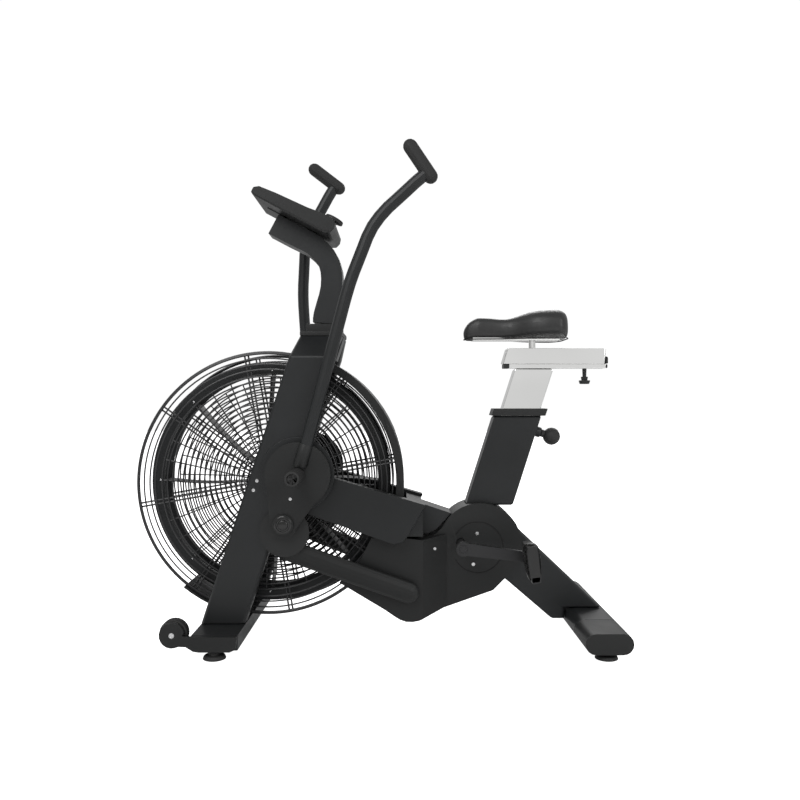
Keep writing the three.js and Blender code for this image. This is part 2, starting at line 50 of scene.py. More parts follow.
BACKDROP = 1.02
AMBIENT = 0.55
CAMERA_PLACE = (0.066, -2.2, 0.630)
FLOOR_REACH = 14
CHROME_NODES = ("seat_post", "seat_rail", "seat_carriage", "saddle_mount")


# ---- Camera, light and floor ----

def add_camera():
    """Level camera looking along +Y, straight at the left side of the bike."""
    data = bpy.data.cameras.new("camera")
    data.lens = 36
    data.sensor_width = 36
    camera = bpy.data.objects.new("camera", data)
    camera.location = CAMERA_PLACE
    camera.rotation_euler = (math.pi / 2, 0, 0)
    bpy.context.scene.collection.objects.link(camera)
    bpy.context.scene.camera = camera


def add_area(name, place, target, size, power):
    """A rectangular lamp at place, turned to face target."""
    data = bpy.data.lights.new(name, "AREA")
    data.shape = "RECTANGLE"
    data.size, data.size_y = size
    data.energy = power
    lamp = bpy.data.objects.new(name, data)
    lamp.location = place
    lamp.rotation_euler = (Vector(target) - Vector(place)).to_track_quat("-Z", "Y").to_euler()
    bpy.context.scene.collection.objects.link(lamp)
    return lamp


def add_light():
    """A pale surround that the camera sees as white, three soft lamps, and a card for the chrome."""
    world = bpy.data.worlds.new("studio")
    world.use_nodes = True
    tree = world.node_tree
    around = tree.nodes["Background"]
    around.inputs["Strength"].default_value = AMBIENT
    seen = node(tree, "ShaderNodeBackground", Strength=BACKDROP)
    for background in (around, seen):
        background.inputs["Color"].default_value = (1.0, 1.0, 1.0, 1)
    ray = node(tree, "ShaderNodeLightPath")
    pick = node(tree, "ShaderNodeMixShader")
    tree.links.new(ray.outputs["Is Camera Ray"], pick.inputs[0])
    tree.links.new(around.outputs[0], pick.inputs[1])
    tree.links.new(seen.outputs[0], pick.inputs[2])
    tree.links.new(pick.outputs[0], tree.nodes["World Output"].inputs["Surface"])
    bpy.context.scene.world = world
    bpy.context.scene.view_settings.view_transform = "Standard"
    add_area("key", (-1.4, -2.6, 2.9), (0, 0, 0.6), (2.4, 1.8), 62)
    add_area("fill", (2.4, -2.4, 1.7), (0.1, 0, 0.5), (1.8, 1.8), 30)
    add_area("back", (0.4, 2.6, 2.4), (0, 0, 0.6), (2.6, 1.4), 40)
    sheen = add_area("chrome_card", (0.5, -3.4, 1.1), (0.3, 0, 0.9), (3.6, 3.0), 6)
    bright = bpy.data.collections.new("chrome_pieces")
    for name in CHROME_NODES:
        bright.objects.link(frame["nodes"][name])
    sheen.light_linking.receiver_collection = bright


def add_floor():
    data = bpy.data.meshes.new("floor")
    corners = [(x * FLOOR_REACH, y * FLOOR_REACH, 0) for x, y in ((-1, -1), (1, -1), (1, 1), (-1, 1))]
    data.from_pydata(corners, [], [(0, 1, 2, 3)])
    floor = bpy.data.objects.new("floor", data)
    floor.location.z = -0.001
    bpy.context.scene.collection.objects.link(floor)
    skin, shader, tree = new_material("floor_pale")
    shader.inputs["Base Color"].default_value = (0.93, 0.93, 0.93, 1)
    shader.inputs["Roughness"].default_value = 0.8
    shader.inputs["Emission Color"].default_value = (1, 1, 1, 1)
    ray = node(tree, "ShaderNodeLightPath")
    glow = node(tree, "ShaderNodeMath", operation="MULTIPLY")
    glow.inputs[1].default_value = BACKDROP
    tree.links.new(ray.outputs["Is Camera Ray"], glow.inputs[0])
    tree.links.new(glow.outputs["Value"], shader.inputs["Emission Strength"])
    data.materials.append(skin)


# ---- Materials ----

def new_material(name):
    """Returns a node material, its main shader and its node tree."""
    skin = bpy.data.materials.new(name)
    skin.use_nodes = True
    tree = skin.node_tree
    return skin, tree.nodes["Principled BSDF"], tree


def node(tree, kind, **settings):
    """Adds a node; each setting is an input where the node has one of that name, else a property."""
    made = tree.nodes.new(kind)
    for key, value in settings.items():
        if key in made.inputs:
            made.inputs[key].default_value = value
        else:
            setattr(made, key, value)
    return made


def noise(tree, scale, detail=4.0):
    place = node(tree, "ShaderNodeTexCoord")
    texture = node(tree, "ShaderNodeTexNoise", Scale=scale, Detail=detail)
    tree.links.new(place.outputs["Object"], texture.inputs["Vector"])
    return texture.outputs["Fac"]


def remap(tree, value, low, high, start=0.3, end=0.7):
    ranger = node(tree, "ShaderNodeMapRange")
    ranger.inputs["From Min"].default_value = start
    ranger.inputs["From Max"].default_value = end
    ranger.inputs["To Min"].default_value = low
    ranger.inputs["To Max"].default_value = high
    tree.links.new(value, ranger.inputs["Value"])
    return ranger.outputs["Result"]


def blend_colors(tree, factor, first, second):
    mix = node(tree, "ShaderNodeMix", data_type="RGBA")
    mix.inputs[6].default_value = (*first, 1)
    mix.inputs[7].default_value = (*second, 1)
    tree.links.new(factor, mix.inputs["Factor"])
    return mix.outputs[2]


def painted_edge_highlight(tree):
    """Painted highlight mask: white on convex edges, from the surface's own curvature."""
    geometry = node(tree, "ShaderNodeNewGeometry")
    return remap(tree, geometry.outputs["Pointiness"], 0.0, 1.0, 0.51, 0.56)


def surface(name, dark, light, rough, grain, bump, metallic=0.0, highlight_tint=None, spec=0.5):
    """A coated or moulded surface: broad colour drift, fine grain in roughness and bump, and convex edges
    lightened as a painted highlight.
    """
    skin, shader, tree = new_material(name)
    broad = noise(tree, 3.5, 3.0)
    color = blend_colors(tree, remap(tree, broad, 0.0, 1.0), dark, light)
    # Painted highlight: the edge colour is added onto convex edges so they read lighter.
    if highlight_tint:
        highlighted_edges = blend_colors(tree, painted_edge_highlight(tree), (0, 0, 0), highlight_tint)
        add = node(tree, "ShaderNodeMix", data_type="RGBA", blend_type="ADD")
        add.inputs["Factor"].default_value = 0.5
        tree.links.new(color, add.inputs[6])
        tree.links.new(highlighted_edges, add.inputs[7])
        color = add.outputs[2]
    tree.links.new(color, shader.inputs["Base Color"])
    fine = noise(tree, grain, 6.0)
    patch = noise(tree, 14.0, 4.0)
    mixed = node(tree, "ShaderNodeMath", operation="MULTIPLY_ADD")
    tree.links.new(fine, mixed.inputs[0])
    mixed.inputs[1].default_value = 0.5
    tree.links.new(remap(tree, patch, 0.0, 0.5), mixed.inputs[2])
    roughness = remap(tree, mixed.outputs["Value"], rough[0], rough[1], 0.0, 1.0)
    tree.links.new(roughness, shader.inputs["Roughness"])
    relief = node(tree, "ShaderNodeBump", Strength=bump[0], Distance=bump[1])
    tree.links.new(fine, relief.inputs["Height"])
    tree.links.new(relief.outputs["Normal"], shader.inputs["Normal"])
    shader.inputs["Metallic"].default_value = metallic
    shader.inputs["Specular IOR Level"].default_value = spec
    return skin


def leather_surface(name):
    """Soft vinyl: pebbled cells with fine creases over them."""
    skin, shader, tree = new_material(name)
    place = node(tree, "ShaderNodeTexCoord")
    cells = node(tree, "ShaderNodeTexVoronoi", Scale=520.0, feature="SMOOTH_F1")
    tree.links.new(place.outputs["Object"], cells.inputs["Vector"])
    creases = noise(tree, 90.0, 8.0)
    height = node(tree, "ShaderNodeMath", operation="MULTIPLY_ADD")
    tree.links.new(creases, height.inputs[0])
    height.inputs[1].default_value = 0.6
    tree.links.new(cells.outputs["Distance"], height.inputs[2])
    relief = node(tree, "ShaderNodeBump", Strength=0.28, Distance=0.0006)
    tree.links.new(height.outputs["Value"], relief.inputs["Height"])
    tree.links.new(relief.outputs["Normal"], shader.inputs["Normal"])
    drift = remap(tree, noise(tree, 7.0), 0, 1)
    color = blend_colors(tree, drift, (0.008, 0.008, 0.008), (0.018, 0.018, 0.018))
    tree.links.new(color, shader.inputs["Base Color"])
    tree.links.new(remap(tree, creases, 0.36, 0.52), shader.inputs["Roughness"])
    return skin


# The last colour given to black_paint and black_plastic lightens their convex edges: a painted highlight.
PAINT = surface("black_paint", (0.007, 0.0078, 0.0083), (0.011, 0.0122, 0.013), (0.34, 0.48), 900,
                (0.10, 0.0002), highlight_tint=(0.012, 0.012, 0.012), spec=0.32)
PLASTIC = surface("black_plastic", (0.0068, 0.0072, 0.0072), (0.010, 0.0106, 0.0106), (0.42, 0.56), 1400,
                  (0.22, 0.0003), highlight_tint=(0.010, 0.010, 0.010), spec=0.32)
GLOSS = surface("gloss_plastic", (0.006, 0.006, 0.006), (0.010, 0.010, 0.010), (0.14, 0.26), 1000,
                (0.04, 0.0002))
RUBBER = surface("black_rubber", (0.007, 0.007, 0.007), (0.013, 0.013, 0.013), (0.55, 0.75), 1100,
                 (0.35, 0.0005))
FOAM = surface("grip_foam", (0.008, 0.008, 0.008), (0.014, 0.014, 0.014), (0.62, 0.82), 700, (0.5, 0.0007))
WIRE = surface("wire_coat", (0.008, 0.008, 0.009), (0.014, 0.014, 0.015), (0.28, 0.42), 800, (0.08, 0.0002))
STEEL = surface("dark_steel", (0.020, 0.020, 0.021), (0.034, 0.034, 0.035), (0.30, 0.45), 600,
                (0.10, 0.0002), metallic=0.6)
CHROME = surface("bright_chrome", (0.80, 0.80, 0.79), (0.90, 0.90, 0.89), (0.05, 0.13), 500,
                 (0.02, 0.0001), metallic=1.0)
SCREW = surface("screw_zinc", (0.55, 0.55, 0.56), (0.72, 0.72, 0.72), (0.18, 0.32), 900,
                (0.05, 0.0001), metallic=1.0)
# Near-black colour laid along seams and edges as painted shadow in their gaps.
SEAM_SHADE = surface("seam_shadow", (0.001, 0.001, 0.001), (0.002, 0.002, 0.002), (0.8, 0.9), 300, (0.1, 0.0002))
SCREEN = surface("display_glass", (0.004, 0.005, 0.006), (0.008, 0.009, 0.011), (0.06, 0.12), 300,
                 (0.01, 0.0001))
VINYL = leather_surface("saddle_vinyl")

BY_SLOT = {"black_paint": PAINT, "black_steel": STEEL, "black_plastic": PLASTIC, "black_rubber": RUBBER,
           "bright_chrome": CHROME, "saddle_vinyl": VINYL}


# ---- Mesh helpers ----

def make(name, mesh, skin, body, smooth=35):
    """Links a finished bmesh as a piece that rides on a body."""
    data = bpy.data.meshes.new(name)
    bmesh.ops.recalc_face_normals(mesh, faces=mesh.faces)
    mesh.to_mesh(data)
    mesh.free()
    piece = bpy.data.objects.new(name, data)
    bpy.context.scene.collection.objects.link(piece)
    data.materials.append(skin)
    for face in data.polygons:
        face.use_smooth = True
    data.set_sharp_from_angle(angle=math.radians(smooth))
    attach(piece, body)
    return piece


def soften(piece, width, segments=2, angle=32):
    """Rounds the hard edges of a piece, which otherwise meet at a knife edge."""
    weld = piece.modifiers.new("weld", "WELD")
    weld.merge_threshold = 0.00002
    bevel = piece.modifiers.new("bevel", "BEVEL")
    bevel.width = width
    bevel.segments = segments
    bevel.limit_method = "ANGLE"
    bevel.angle_limit = math.radians(angle)
    bevel.use_clamp_overlap = True
    bevel.harden_normals = True
    normals = piece.modifiers.new("normals", "WEIGHTED_NORMAL")
    normals.keep_sharp = True
    normals.weight = 60


def tube(mesh, points, radius, sides=8, closed=False):
    """Adds a round tube along points, open ended or closed on itself."""
    count = len(points)
    rings = []
    for i, point in enumerate(points):
        before = points[i - 1] if closed or i else points[0]
        after = points[(i + 1) % count] if closed or i < count - 1 else points[-1]
        along = (after - before).normalized()
        helper = Vector((0, 1, 0)) if abs(along.y) < 0.9 else Vector((1, 0, 0))
        across = along.cross(helper).normalized()
        up = across.cross(along)
        ring = []
        for k in range(sides):
            angle = 2 * math.pi * k / sides
            offset = across * math.cos(angle) * radius + up * math.sin(angle) * radius
            ring.append(mesh.verts.new(point + offset))
        rings.append(ring)
    for i in range(count if closed else count - 1):
        one, two = rings[i], rings[(i + 1) % count]
        for k in range(sides):
            mesh.faces.new((one[k], one[(k + 1) % sides], two[(k + 1) % sides], two[k]))
    if not closed:
        mesh.faces.new(rings[0])
        mesh.faces.new(list(reversed(rings[-1])))


def turned(mesh, profile, place, axis, sides=32):
    """Adds a closed lathe body: profile is (radius, distance along axis) from end to end."""
    turn = Vector((0, 0, 1)).rotation_difference(Vector(axis)).to_matrix().to_4x4()
    matrix = Matrix.Translation(Vector(place)) @ turn
    rings = []
    for radius, along in profile:
        ring = []
        for k in range(sides):
            angle = 2 * math.pi * k / sides
            local = Vector((radius * math.cos(angle), radius * math.sin(angle), along))
            ring.append(mesh.verts.new(matrix @ local))
        rings.append(ring)
    for one, two in zip(rings, rings[1:]):
        for k in range(sides):
            mesh.faces.new((one[k], one[(k + 1) % sides], two[(k + 1) % sides], two[k]))
    mesh.faces.new(rings[0])
    mesh.faces.new(list(reversed(rings[-1])))


def slab(mesh, corners, low, high, place=None):
    """Adds a prism: corners are (x, z), low and high are y."""
    matrix = place or Matrix.Identity(4)
    near = [mesh.verts.new(matrix @ Vector((x, low, z))) for x, z in corners]
    far = [mesh.verts.new(matrix @ Vector((x, high, z))) for x, z in corners]
    mesh.faces.new(near)
    mesh.faces.new(list(reversed(far)))
    for i in range(len(corners)):
        j = (i + 1) % len(corners)
        mesh.faces.new((near[i], near[j], far[j], far[i]))


def arc(x, z, radius, start, end, steps):
    """Points in the X-Z plane, with both ends; the angles are in degrees."""
    angles = [math.radians(start + (end - start) * i / steps) for i in range(steps + 1)]
    return [(x + radius * math.cos(a), z + radius * math.sin(a)) for a in angles]


def middle(name):
    low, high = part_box(name)
    return (Vector(low) + Vector(high)) / 2


# ---- Carried-over CAD nodes ----

SMOOTH_ANGLE = math.radians(32)

# Bevel width in metres and its segments, by the end of the node's name.
SOFTEN = {
    "front_leg": (0.004, 3), "side_beam": (0.010, 4), "pivot_plate": (0.0015, 2), "head_block": (0.003, 2),
    "head_cap": (0.003, 2), "neck": (0.007, 3), "front_stabiliser": (0.006, 3), "rear_stabiliser": (0.002, 2),
    "caster_arm": (0.0025, 2), "caster": (0.004, 3), "foot_cap": (0.0025, 2), "leveller": (0.003, 2),
    "drive_cover": (0.006, 3), "frame_bridge": (0.004, 2), "rear_strut": (0.008, 3), "crank_arm": (0.003, 2),
    "lever_plate": (0.003, 2), "seat_tube": (0.008, 3), "seat_collar": (0.004, 2), "seat_post": (0.006, 3),
    "seat_rail": (0.0015, 2), "seat_carriage": (0.004, 2), "saddle_mount": (0.001, 1),
    "console_dial": (0.003, 3),
    "console_body": (0.005, 3), "wind_shield": (0.003, 2), "slider_knob": (0.0015, 2), "foot_peg": (0.002, 2),
}


def dress_frame():
    """Gives every CAD node its material, smooth shading and softened edges."""
    slots = {row["node"]: row["material_slot"] for row in frame["record"]["subparts"]}
    for name, piece in frame["nodes"].items():
        skin = BY_SLOT[slots[name]]
        if "grip" in name:
            skin = FOAM
        piece.data.materials.clear()
        piece.data.materials.append(skin)
        for face in piece.data.polygons:
            face.use_smooth = True
        piece.data.set_sharp_from_angle(angle=SMOOTH_ANGLE)
        for key, (width, segments) in SOFTEN.items():
            if name.endswith(key):
                soften(piece, width, segments)


# ---- Fan cage and wheel ----

FAN = middle("fan_wheel")
WHEEL_LOW, WHEEL_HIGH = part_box("fan_wheel")
RIM_OUTER = (WHEEL_HIGH[0] - WHEEL_LOW[0]) / 2
RIM_INNER = RIM_OUTER - 0.034
WIRE_RADIUS = 0.0021
EDGE_WIRE_RADIUS = 0.0034
SPOKE_RADIUS = 0.0018
PAIR_SPOKE_RADIUS = 0.0024
RING_PITCH = 0.014
BLADE_ANGLES = [math.radians(44.5 + 45 * i) for i in range(8)]
HUB_RADIUS = 0.035


def add_cage(side, sign):
    """One half of the wire cage: rings, spokes behind them, every fourth spoke a pair, and a hub disc."""
    low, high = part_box(f"{side}_fan_guard")
    outer = (high[0] - low[0]) / 2 - 0.003
    face = (low[1] + high[1]) / 2
    mesh = bmesh.new()

    def ring(radius, thickness, y, steps=120):
        points = [Vector((x, y, z)) for x, z in arc(FAN.x, FAN.z, radius, 0, 360, steps)[:-1]]
        tube(mesh, points, thickness, 8, closed=True)

    ring(outer, EDGE_WIRE_RADIUS, face)
    ring(outer - 0.0028, 0.0030, face + sign * 0.001)
    for inset in (0.016, 0.031, 0.045):
        ring(outer - inset, WIRE_RADIUS, face)
    inner_field = outer - 0.063
    radius = inner_field
    while radius > 0.04:
        ring(radius, WIRE_RADIUS, face, 96 if radius > 0.15 else 56)
        radius -= RING_PITCH
    spoke_y = face - sign * EDGE_WIRE_RADIUS
    for i in range(32):
        angle = math.radians(10 + 11.25 * i)
        direction = Vector((math.cos(angle), 0, math.sin(angle)))
        across = Vector((-direction.z, 0, direction.x))
        double = i % 4 == 0
        for shift in ((-0.0048, 0.0048) if double else (0,)):
            reach = outer if double else inner_field
            start = Vector((FAN.x, spoke_y, FAN.z)) + direction * 0.030 + across * shift
            end = Vector((FAN.x, spoke_y, FAN.z)) + direction * reach + across * shift
            tube(mesh, [start, end], PAIR_SPOKE_RADIUS if double else SPOKE_RADIUS, 8)
    turned(mesh, [(0.010, -0.0025), (0.036, -0.0025), (0.038, 0), (0.034, 0.003), (0.010, 0.003)],
           (FAN.x, face, FAN.z), (0, sign, 0), 40)
    cage = make(f"{side}_fan_cage", mesh, WIRE, "frame")
    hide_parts(f"{side}_fan_guard")


def add_wheel():
    """Two rolled rims, a hub and eight bowed blades, with a screw at each blade's end."""
    mesh = bmesh.new()
    half = (WHEEL_HIGH[1] - WHEEL_LOW[1]) / 2
    steps = 128
    for sign in (-1, 1):
        profile = [(RIM_INNER, half - 0.008), (RIM_INNER + 0.001, half - 0.001), (RIM_INNER + 0.004, half),
                   (RIM_OUTER - 0.004, half), (RIM_OUTER - 0.001, half - 0.001), (RIM_OUTER, half - 0.008),
                   (RIM_OUTER - 0.002, half - 0.009), (RIM_INNER + 0.002, half - 0.009)]
        rings = []
        for x, z in arc(0, 0, 1, 0, 360, steps)[:-1]:
            rings.append([mesh.verts.new((FAN.x + x * r, sign * y, FAN.z + z * r)) for r, y in profile])
        for i in range(steps):
            one, two = rings[i], rings[(i + 1) % steps]
            for k in range(len(profile)):
                n = (k + 1) % len(profile)
                mesh.faces.new((one[k], one[n], two[n], two[k]))
    turned(mesh, [(0.0084, -0.06), (0.032, -0.06), (HUB_RADIUS, -0.056), (HUB_RADIUS, 0.056), (0.032, 0.06),
                  (0.0084, 0.06)], FAN, (0, 1, 0), 40)
    for angle in BLADE_ANGLES:
        spin = Matrix.Translation(FAN) @ Matrix.Rotation(-angle, 4, "Y")
        blade = []
        for k in range(13):
            along = 0.032 + (RIM_OUTER - 0.040) * k / 12
            bow = 0.010 * math.sin(math.pi * k / 12)
            blade.append((along, bow))
        outline = blade + [(along, bow - 0.0022) for along, bow in reversed(blade)]
        slab(mesh, outline, -half + 0.009, half - 0.009, spin)
    wheel = make("fan_wheel_detail", mesh, PAINT, "fan", 30)
    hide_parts("fan_wheel")
    screws = bmesh.new()
    radius = RIM_INNER + 0.010
    for angle in BLADE_ANGLES:
        for sign in (-1, 1):
            place = (FAN.x + radius * math.cos(angle), sign * half, FAN.z + radius * math.sin(angle))
            turned(screws, [(0.0024, -0.002), (0.0024, 0.0006), (0.0016, 0.0010), (0.0008, 0.0006)], place,
                   (0, sign, 0), 12)
    make("fan_blade_screws", screws, SCREW, "fan")


# ---- Screws and painted seam shadows ----

PIVOT = middle("left_foot_peg")
LINK_PIN = {joint["name"].split("_")[0]: (joint["pos_m"][0], joint["pos_m"][2])
            for joint in frame["record"]["behaviour"]["joints"] if "link_pivot" in joint["name"]}
LEVER_PLATE_FACE = 0.188
LEVER_Y = 0.185
LEG_FACE = 0.158
COVER_FACE = 0.0605
RAMP_FACE = 0.0828

# x, z, distance of the face from the middle, head radius
FRAME_SCREWS = ((-0.299, 0.424, LEG_FACE, 0.0052), (-0.308, 0.400, LEG_FACE, 0.0052),
                (0.272, 0.273, COVER_FACE, 0.0055), (0.262, 0.191, COVER_FACE, 0.0055),
                (0.158, 0.237, RAMP_FACE, 0.0045))

# x, z from the lever's pivot, where the left lever stands at rest
PLATE_SCREWS = ((0.005, 0.027), (-0.018, -0.060))


def screw(mesh, x, y, z, sign, radius):
    """A pan-head screw with a round socket, facing out of a side face."""
    profile = [(radius, -0.003), (radius, 0.0006), (radius * 0.82, 0.0020), (radius * 0.5, 0.0022),
               (radius * 0.45, 0.0004), (radius * 0.05, 0.0004)]
    turned(mesh, profile, (x, y, z), (0, sign, 0), 24)


def lever_turn(side):
    """How far a lever stands from the left lever's own place at rest, about its pivot."""
    swing = next(j for j in frame["record"]["behaviour"]["joints"] if j["name"] == "left_lever_swing")
    travel = math.radians(swing["range_deg"][1] - swing["range_deg"][0])
    return Matrix.Rotation(0 if side == "left" else -travel, 3, "Y")


def add_lever_sockets():
    """A round-ended socket that holds the foot of each lever tube on its plate."""
    for side, sign in SIDES:
        turn = lever_turn(side)
        centre = Vector((PIVOT.x, LEVER_Y * sign, PIVOT.z))
        foot = turn @ Vector((0.0075, 0, 0.029))
        top = turn @ Vector((0.0215, 0, 0.075))
        axis = (top - foot).normalized()
        mesh = bmesh.new()
        reach = (top - foot).length
        profile = [(0.003, -0.0172), (0.0100, -0.0150), (0.0150, -0.0100), (0.0178, -0.0020),
                   (0.0180, reach * 0.5), (0.0176, reach), (0.0168, reach + 0.0015)]
        turned(mesh, profile, centre + foot, axis, 32)
        make(f"{side}_lever_socket", mesh, PLASTIC, f"{side}_lever", 50)


def add_screws():
    """Two screws on each lever plate, and those on the leg, the drive cover and the caster."""
    caster = middle("left_caster")
    for side, sign in SIDES:
        turn = lever_turn(side)
        mesh = bmesh.new()
        for dx, dz in PLATE_SCREWS:
            spot = turn @ Vector((dx, 0, dz))
            screw(mesh, PIVOT.x + spot.x, LEVER_PLATE_FACE * sign, PIVOT.z + spot.z, sign, 0.0048)
        make(f"{side}_plate_screws", mesh, SCREW, f"{side}_lever")
        mesh = bmesh.new()
        for x, z, face, radius in FRAME_SCREWS:
            screw(mesh, x, face * sign, z, sign, radius)
        arm_low, arm_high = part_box(f"{side}_caster_arm")
        screw(mesh, caster.x, arm_low[1] if sign < 0 else arm_high[1], caster.z, sign, 0.007)
        make(f"{side}_frame_screws", mesh, SCREW, "frame")


def add_bearing_caps():
    """Stepped round caps on the link pivots and a ribbed sleeve on each foot peg."""
    for side, sign in SIDES:
        plate_low, plate_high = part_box(f"{side}_lever_plate")
        face = plate_high[1] if sign > 0 else plate_low[1]
        place = (LINK_PIN[side][0], face, LINK_PIN[side][1])
        mesh = bmesh.new()
        profile = [(0.0225, -0.001), (0.0225, 0.0016), (0.0205, 0.0028), (0.0175, 0.0028), (0.0165, 0.0008),
                   (0.0130, 0.0008), (0.0120, 0.0030), (0.0100, 0.0040), (0.0020, 0.0042)]
        turned(mesh, profile, place, (0, sign, 0), 48)
        make(f"{side}_link_cap", mesh, GLOSS, f"{side}_lever", 40)
        peg_low, peg_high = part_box(f"{side}_foot_peg")
        radius = (peg_high[2] - peg_low[2]) / 2
        centre = middle(f"{side}_foot_peg")
        inner, outer = 0.193, peg_high[1] if sign > 0 else -peg_low[1]
        sleeve = bmesh.new()
        profile = [(radius * 0.80, 0.0)]
        ribs = 16
        depth = outer - inner - 0.004
        pitch = depth / ribs
        root, crest = radius * 0.94, radius + 0.0002
        for i in range(ribs):
            start = 0.002 + depth * i / ribs
            profile += [(root, start), (crest, start + pitch * 0.3), (crest, start + pitch * 0.7),
                        (root, start + pitch)]
        profile += [(radius * 0.86, outer - inner - 0.001), (radius * 0.70, outer - inner)]
        turned(sleeve, profile, (centre.x, inner * sign, centre.z), (0, sign, 0), 40)
        make(f"{side}_peg_sleeve", sleeve, RUBBER, "frame", 50)


def add_seam_shadows():
    """A near-black line round the crank cover, open at the front: painted shadow along the cover's moulding
    seam.
    """
    crank_cover = (0.274, 0.236)
    radius = 0.068
    for side, sign in SIDES:
        mesh = bmesh.new()
        # Painted shadow: a thin near-black tube along the cover's seam.
        points = [Vector((x, 0.0602 * sign, z)) for x, z in arc(*crank_cover, radius, 150, -150, 60)]
        tube(mesh, points, 0.0013, 8)
        make(f"{side}_cover_seam_shade", mesh, SEAM_SHADE, "frame")


# ---- Pedals ----

def add_pedals():
    """Caged pedals on a sleeve, each with a toe strap and its buckle."""
    for side, sign in SIDES:
        low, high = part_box(f"{side}_pedal")
        place = middle(f"{side}_pedal")
        inner, outer = sorted((abs(low[1]), abs(high[1])))
        matrix = Matrix.Translation(Vector((place.x, 0, place.z))) @ Matrix.Rotation(math.radians(-8), 4, "Y")
        mesh = bmesh.new()

        def plate(corners, a, b):
            ends = sorted((a * sign, b * sign))
            slab(mesh, corners, ends[0], ends[1], matrix)

        half, thick = 0.044, 0.013
        shape = [(-thick * 0.7, -half), (thick * 0.7, -half), (thick, -half * 0.7), (thick, half * 0.7),
                 (thick * 0.7, half), (-thick * 0.7, half), (-thick, half * 0.7), (-thick, -half * 0.7)]
        plate(shape, inner + 0.001, inner + 0.008)
        plate(shape, outer - 0.009, outer - 0.002)
        for z in (-0.038, 0.038):
            plate([(-0.010, z - 0.005), (0.010, z - 0.005), (0.010, z + 0.005), (-0.010, z + 0.005)],
                  inner + 0.007, outer - 0.008)
        for x in (-0.011, 0.011):
            for i in range(5):
                z = -0.026 + 0.013 * i
                plate([(x - 0.0016, z - 0.002), (x + 0.0016, z - 0.002), (x + 0.0016, z + 0.002),
                       (x - 0.0016, z + 0.002)], inner + 0.007, outer - 0.008)
        turned(mesh, [(0.0115, 0), (0.0115, outer - inner - 0.014), (0.0080, outer - inner - 0.012)],
               (place.x, (inner + 0.006) * sign, place.z), (0, sign, 0), 24)
        body = make(f"{side}_pedal_body", mesh, RUBBER, f"{side}_pedal")
        soften(body, 0.0012, 2)
        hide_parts(f"{side}_pedal")

        strap = bmesh.new()
        loop = [(-0.016, -0.036), (-0.019, 0.0), (-0.017, 0.037), (-0.006, 0.0475), (0.012, 0.0475),
                (0.022, 0.038), (0.0205, 0.0), (0.018, -0.036), (0.010, -0.0475), (-0.008, -0.0475)]
        wide = 0.022
        centre = (inner + outer) / 2 + 0.012
        rings = []
        for i, (x, z) in enumerate(loop):
            bx, bz = loop[i - 1]
            ax, az = loop[(i + 1) % len(loop)]
            out = Vector((-(az - bz), 0, ax - bx)).normalized() * 0.0011
            ring = []
            for y, k in ((centre - wide / 2, -1), (centre + wide / 2, -1), (centre + wide / 2, 1),
                         (centre - wide / 2, 1)):
                ring.append(strap.verts.new(matrix @ (Vector((x, y * sign, z)) + out * k)))
            rings.append(ring)
        for i in range(len(rings)):
            one, two = rings[i], rings[(i + 1) % len(rings)]
            for k in range(4):
                n = (k + 1) % 4
                strap.faces.new((one[k], one[n], two[n], two[k]))
        band = make(f"{side}_pedal_strap", strap, GLOSS, f"{side}_pedal", 60)
        smooth = band.modifiers.new("rounded", "SUBSURF")
        smooth.levels = smooth.render_levels = 2
        buckle = bmesh.new()
        ends = sorted(((outer - 0.002) * sign, (outer - 0.0175) * sign))
        outline = [(-0.010, -0.046), (0.011, -0.046), (0.013, -0.030), (-0.011, -0.030)]
        slab(buckle, outline, ends[0], ends[1], matrix)
        soften(make(f"{side}_strap_buckle", buckle, STEEL, f"{side}_pedal"), 0.0016, 2)


# ---- Saddle ----

SADDLE_ROWS = 30


def saddle_spread(t):
    """How far the saddle has widened from nose to seat, and how full it is near its nose and tail."""
    flare = 1 / (1 + math.exp(-13 * (t - 0.56)))
    nose = min(1.0, math.sqrt(max(0.0, t / 0.13)))
    tail = min(1.0, (max(0.0, (1 - t) / 0.10)) ** 0.4)
    return flare, nose, tail


def saddle_half(t):
    """Half the saddle's width at t, from 0 at the nose to 1 at the tail."""
    flare, nose, tail = saddle_spread(t)
    return (0.030 + 0.064 * flare) * (0.30 + 0.70 * nose) * (0.45 + 0.55 * tail)


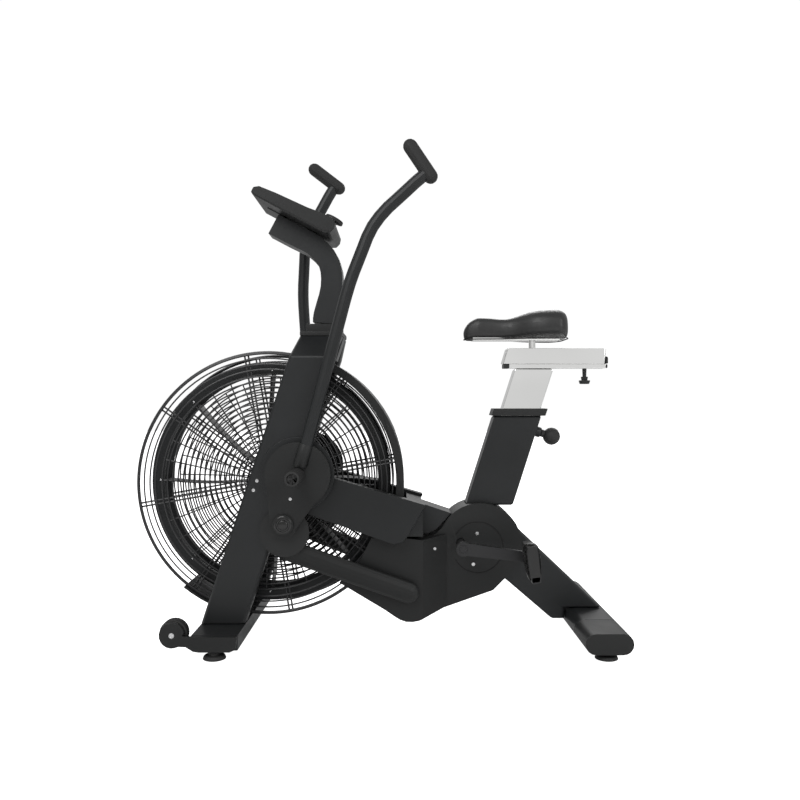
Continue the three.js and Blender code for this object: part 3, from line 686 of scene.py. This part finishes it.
def add_saddle():
    """A long-nosed cushion with a shallow middle groove, and piping round its lower edge."""
    low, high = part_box("saddle_cushion")
    length = high[0] - low[0]
    base = low[2] - 0.0070
    columns = 20
    mesh = bmesh.new()
    grid = []
    for i in range(SADDLE_ROWS + 1):
        t = i / SADDLE_ROWS
        x = low[0] + 0.002 + (length - 0.004) * t
        flare, nose, tail = saddle_spread(t)
        half = saddle_half(t)
        dip = -0.006 * math.exp(-((t - 0.42) / 0.14) ** 2)
        top = 0.061 + dip + 0.020 * flare
        height = top * (0.40 + 0.60 * nose) * (0.72 + 0.28 * tail)
        ring = []
        for k in range(columns + 1):
            angle = math.pi * k / columns
            c, s = math.cos(angle), math.sin(angle)
            y = half * math.copysign(abs(c) ** 0.62, c)
            z = base + height * s ** 0.42
            groove = 0.0035 * math.exp(-(y / 0.011) ** 2) * min(1, max(0, (t - 0.25) * 6)) if s > 0.5 else 0
            ring.append(mesh.verts.new((x, y, z - groove)))
        grid.append(ring)
    for one, two in zip(grid, grid[1:]):
        for k in range(columns):
            mesh.faces.new((one[k], one[k + 1], two[k + 1], two[k]))
        mesh.faces.new((one[columns], one[0], two[0], two[columns]))
    mesh.faces.new(grid[0])
    mesh.faces.new(list(reversed(grid[-1])))
    saddle = make("saddle_shell", mesh, VINYL, "saddle", 80)
    smooth = saddle.modifiers.new("rounded", "SUBSURF")
    smooth.levels = smooth.render_levels = 2
    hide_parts("saddle_cushion")

    piping = bmesh.new()
    outline = []
    for i in range(SADDLE_ROWS + 1):
        t = i / SADDLE_ROWS
        outline.append((low[0] + 0.004 + (length - 0.008) * t, saddle_half(t) - 0.001))
    hem = [Vector((x, -y, base + 0.0015)) for x, y in outline]
    hem += [Vector((x, y, base + 0.0015)) for x, y in reversed(outline)]
    tube(piping, hem, 0.0017, 8, closed=True)
    make("saddle_hem", piping, RUBBER, "saddle")


# ---- Rail caps, console screen and keys ----

def add_seat_trim():
    """Black caps on the rail's two ends, and a stop on the back of the sliding carriage."""
    low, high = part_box("seat_rail")
    mesh = bmesh.new()
    slab(mesh, [(low[0] - 0.004, low[2]), (low[0] + 0.011, low[2]), (low[0] + 0.011, high[2]),
                (low[0] - 0.004, high[2])], low[1] - 0.001, high[1] + 0.001)
    slab(mesh, [(high[0], low[2]), (high[0] + 0.004, low[2] + 0.002), (high[0] + 0.004, high[2] - 0.001),
                (high[0], high[2])], low[1] - 0.001, high[1] + 0.001)
    soften(make("rail_end_caps", mesh, PLASTIC, "seat_post"), 0.0014, 2)
    low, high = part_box("seat_carriage")
    stop = bmesh.new()
    foot = low[2] + 0.001
    slab(stop, [(high[0] - 0.002, foot), (high[0] + 0.005, foot), (high[0] + 0.005, foot + 0.016),
                (high[0] + 0.001, foot + 0.020)], low[1] + 0.001, high[1] - 0.001)
    soften(make("carriage_end_stop", stop, PLASTIC, "saddle"), 0.0014, 2)


def add_console_trim():
    """A display panel and a row of keys on the console's sloped top, and a near-black line along its sides,
    painted shadow under the top's edge.
    """
    low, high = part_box("console_body")
    slope = math.atan2(108, 204)
    corner = Vector((low[0] + 0.0037, 0, high[2] - 0.0077))
    matrix = Matrix.Translation(corner) @ Matrix.Rotation(slope, 4, "Y")
    mesh = bmesh.new()
    slab(mesh, [(0.052, 0.017), (0.148, 0.0225), (0.148, 0.0262), (0.146, 0.0268), (0.054, 0.0212),
                (0.052, 0.0206)], -0.084, 0.084, matrix)
    soften(make("console_bezel", mesh, PLASTIC, "frame"), 0.0015, 3)
    mesh = bmesh.new()
    slab(mesh, [(0.062, 0.019), (0.138, 0.0235), (0.138, 0.0270), (0.062, 0.0225)], -0.072, 0.072, matrix)
    soften(make("console_screen", mesh, SCREEN, "frame"), 0.0008, 2)
    keys = bmesh.new()
    for i in range(5):
        place = matrix @ Vector((0.168, -0.064 + 0.032 * i, 0.0262))
        turned(keys, [(0.010, 0), (0.010, 0.003), (0.0085, 0.0042), (0.002, 0.0045)], place,
               (math.sin(slope), 0, math.cos(slope)), 24)
    make("console_keys", keys, RUBBER, "frame")
    # Painted shadow: a thin near-black line along each side of the console.
    edge = bmesh.new()
    for sign in (-1, 1):
        line = [matrix @ Vector((u, sign * (high[1] - 0.0004), n)) for u, n in
                ((0.004, -0.006), (0.012, -0.0095), (0.216, -0.0095), (0.230, -0.004))]
        tube(edge, line, 0.0009, 6)
    make("console_edge_shadow", edge, SEAM_SHADE, "frame")


add_camera()
add_light()
add_floor()
dress_frame()
for each_side, each_sign in SIDES:
    add_cage(each_side, each_sign)
add_wheel()
add_screws()
add_lever_sockets()
add_bearing_caps()
add_seam_shadows()
add_pedals()
add_saddle()
add_seat_trim()
add_console_trim()
